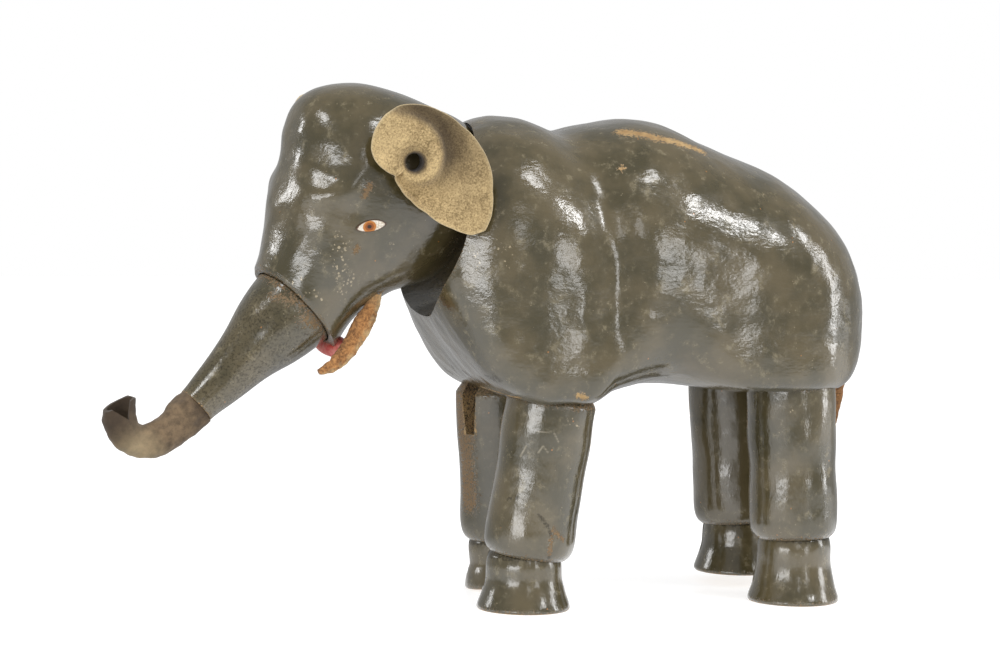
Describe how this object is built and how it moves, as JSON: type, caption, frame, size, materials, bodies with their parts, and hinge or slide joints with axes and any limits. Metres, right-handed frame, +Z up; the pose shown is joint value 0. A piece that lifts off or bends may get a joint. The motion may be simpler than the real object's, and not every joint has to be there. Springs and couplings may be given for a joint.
{
  "type": "jointed toy elephant",
  "caption": "Elastic-strung wooden elephant with ball-seated legs, feet, head and trunk, leather ears, tusks, trunk tip and tail, standing with its head turned.",
  "frame": {"origin": "on the floor under the middle of the whole animal", "axes": "+Z up, -X towards the head, -Y towards the left side of the animal"},
  "size_m": [0.2646, 0.0878, 0.1726],
  "materials": {
    "enamelled_wood": "glossy grey-olive enamel over carved and turned wood",
    "ear_leather": "dull olive tan",
    "strip_leather": "worn orange brown",
    "tip_leather": "worn dark brown",
    "elastic": "cloth-covered elastic",
    "steel": "dull nail steel"
  },
  "bodies": {
    "torso": {"torso": "enamelled_wood", "hip_anchor_brads": "steel", "neck_brad": "steel", "tail_nail": "steel"},
    "hip_cord_front_left": {"hip_cord_front_left": "elastic"},
    "leg_front_left": {"leg_front_left": "enamelled_wood", "hip_nail_front_left": "steel", "ankle_brad_front_left": "steel"},
    "foot_cord_front_left": {"foot_cord_front_left": "elastic"},
    "foot_front_left": {"foot_front_left": "enamelled_wood", "foot_nail_front_left": "steel"},
    "hip_cord_front_right": {"hip_cord_front_right": "elastic"},
    "leg_front_right": {"leg_front_right": "enamelled_wood", "hip_nail_front_right": "steel", "ankle_brad_front_right": "steel"},
    "foot_cord_front_right": {"foot_cord_front_right": "elastic"},
    "foot_front_right": {"foot_front_right": "enamelled_wood", "foot_nail_front_right": "steel"},
    "hip_cord_rear_left": {"hip_cord_rear_left": "elastic"},
    "leg_rear_left": {"leg_rear_left": "enamelled_wood", "hip_nail_rear_left": "steel", "ankle_brad_rear_left": "steel"},
    "foot_cord_rear_left": {"foot_cord_rear_left": "elastic"},
    "foot_rear_left": {"foot_rear_left": "enamelled_wood", "foot_nail_rear_left": "steel"},
    "hip_cord_rear_right": {"hip_cord_rear_right": "elastic"},
    "leg_rear_right": {"leg_rear_right": "enamelled_wood", "hip_nail_rear_right": "steel", "ankle_brad_rear_right": "steel"},
    "foot_cord_rear_right": {"foot_cord_rear_right": "elastic"},
    "foot_rear_right": {"foot_rear_right": "enamelled_wood", "foot_nail_rear_right": "steel"},
    "neck_cord": {"neck_cord": "elastic"},
    "neck_pin": {"neck_pin": "steel"},
    "head": {"head": "enamelled_wood", "ear_left": "ear_leather", "ear_right": "ear_leather", "tusk_left": "strip_leather", "tusk_right": "strip_leather", "tusk_nails": "steel", "trunk_brad": "steel"},
    "trunk_cord": {"trunk_cord": "elastic"},
    "trunk_pin": {"trunk_pin": "steel"},
    "trunk": {"trunk": "enamelled_wood", "trunk_tip": "tip_leather", "trunk_tack": "steel"},
    "tail": {"tail": "strip_leather"}
  },
  "joints": [
    {"name": "leg_front_left_turn", "type": "hinge", "parent": "torso", "child": "hip_cord_front_left", "pos_m": [0.0143, -0.0215, 0.06003], "axis": [0, 0, 1], "range_deg": [-11, 45]},
    {"name": "leg_front_left_swing", "type": "hinge", "parent": "hip_cord_front_left", "child": "leg_front_left", "pos_m": [0.0143, -0.0215, 0.06003], "axis": [0.3256, 0.9455, 0], "range_deg": [-53, 37]},
    {"name": "foot_front_left_turn", "type": "hinge", "parent": "leg_front_left", "child": "foot_cord_front_left", "pos_m": [0.00792, -0.0193, 0.012], "axis": [0.1316, -0.0453, 0.9903], "range_deg": [-20, 20]},
    {"name": "foot_front_left_tilt", "type": "hinge", "parent": "foot_cord_front_left", "child": "foot_front_left", "pos_m": [0.00792, -0.0193, 0.012], "axis": [0.3256, 0.9455, 0], "range_deg": [-12, 28]},
    {"name": "leg_front_right_turn", "type": "hinge", "parent": "torso", "child": "hip_cord_front_right", "pos_m": [0.0121, 0.0215, 0.06037], "axis": [0, 0, 1], "range_deg": [-45, 3]},
    {"name": "leg_front_right_swing", "type": "hinge", "parent": "hip_cord_front_right", "child": "leg_front_right", "pos_m": [0.0121, 0.0215, 0.06037], "axis": [-0.454, 0.891, 0], "range_deg": [-40.8, 49.2]},
    {"name": "foot_front_right_turn", "type": "hinge", "parent": "leg_front_right", "child": "foot_cord_front_right", "pos_m": [0.01527, 0.02311, 0.012], "axis": [-0.0653, -0.0332, 0.9973], "range_deg": [-20, 20]},
    {"name": "foot_front_right_tilt", "type": "hinge", "parent": "foot_cord_front_right", "child": "foot_front_right", "pos_m": [0.01527, 0.02311, 0.012], "axis": [0.2924, 0.9563, 0], "range_deg": [-13.02, 26.98]},
    {"name": "leg_rear_left_turn", "type": "hinge", "parent": "torso", "child": "hip_cord_rear_left", "pos_m": [0.1023, -0.0215, 0.06436], "axis": [0, 0, 1], "range_deg": [-6, 45]},
    {"name": "leg_rear_left_swing", "type": "hinge", "parent": "hip_cord_rear_left", "child": "leg_rear_left", "pos_m": [0.1023, -0.0215, 0.06436], "axis": [0.4067, 0.9135, 0], "range_deg": [-42.6, 47.4]},
    {"name": "foot_rear_left_turn", "type": "hinge", "parent": "leg_rear_left", "child": "foot_cord_rear_left", "pos_m": [0.10415, -0.02233, 0.0159], "axis": [-0.0383, 0.017, 0.9991], "range_deg": [-20, 20]},
    {"name": "foot_rear_left_tilt", "type": "hinge", "parent": "foot_cord_rear_left", "child": "foot_rear_left", "pos_m": [0.10415, -0.02233, 0.0159], "axis": [0.4067, 0.9135, 0], "range_deg": [-22.4, 17.6]},
    {"name": "leg_rear_right_turn", "type": "hinge", "parent": "torso", "child": "hip_cord_rear_right", "pos_m": [0.0983, 0.0215, 0.06428], "axis": [0, 0, 1], "range_deg": [-10, 45]},
    {"name": "leg_rear_right_swing", "type": "hinge", "parent": "hip_cord_rear_right", "child": "leg_rear_right", "pos_m": [0.0983, 0.0215, 0.06428], "axis": [0.342, 0.9397, 0], "range_deg": [-40.9, 49.1]},
    {"name": "foot_rear_right_turn", "type": "hinge", "parent": "leg_rear_right", "child": "foot_cord_rear_right", "pos_m": [0.10156, 0.02031, 0.0159], "axis": [-0.0672, 0.0245, 0.9974], "range_deg": [-20, 20]},
    {"name": "foot_rear_right_tilt", "type": "hinge", "parent": "foot_cord_rear_right", "child": "foot_rear_right", "pos_m": [0.10156, 0.02031, 0.0159], "axis": [0.342, 0.9397, 0], "range_deg": [-24.1, 15.9]},
    {"name": "head_roll", "type": "hinge", "parent": "torso", "child": "neck_cord", "pos_m": [-0.0273, 0, 0.1377], "axis": [1, 0, 0], "range_deg": [-15, 5]},
    {"name": "head_turn", "type": "hinge", "parent": "neck_cord", "child": "neck_pin", "pos_m": [-0.0273, 0, 0.1377], "axis": [0, -0.0872, 0.9962], "range_deg": [-25, 1]},
    {"name": "head_nod", "type": "hinge", "parent": "neck_pin", "child": "head", "pos_m": [-0.0273, 0, 0.1377], "axis": [-0.2079, 0.9744, 0.0853], "range_deg": [-20, 14]},
    {"name": "trunk_roll", "type": "hinge", "parent": "head", "child": "trunk_cord", "pos_m": [-0.07459, -0.0062, 0.09327], "axis": [-0.7154, -0.092, -0.6927], "range_deg": [-30, 30]},
    {"name": "trunk_turn", "type": "hinge", "parent": "trunk_cord", "child": "trunk_pin", "pos_m": [-0.07459, -0.0062, 0.09327], "axis": [-0.6671, -0.205, 0.7162], "range_deg": [-18, 18]},
    {"name": "trunk_lift", "type": "hinge", "parent": "trunk_pin", "child": "trunk", "pos_m": [-0.07459, -0.0062, 0.09327], "axis": [-0.2079, 0.9744, 0.0853], "range_deg": [-20, 25]},
    {"name": "tail_swing", "type": "hinge", "parent": "torso", "child": "tail", "pos_m": [0.127, 0, 0.0841], "axis": [0, 1, 0], "range_deg": [-8, 8]}
  ]
}
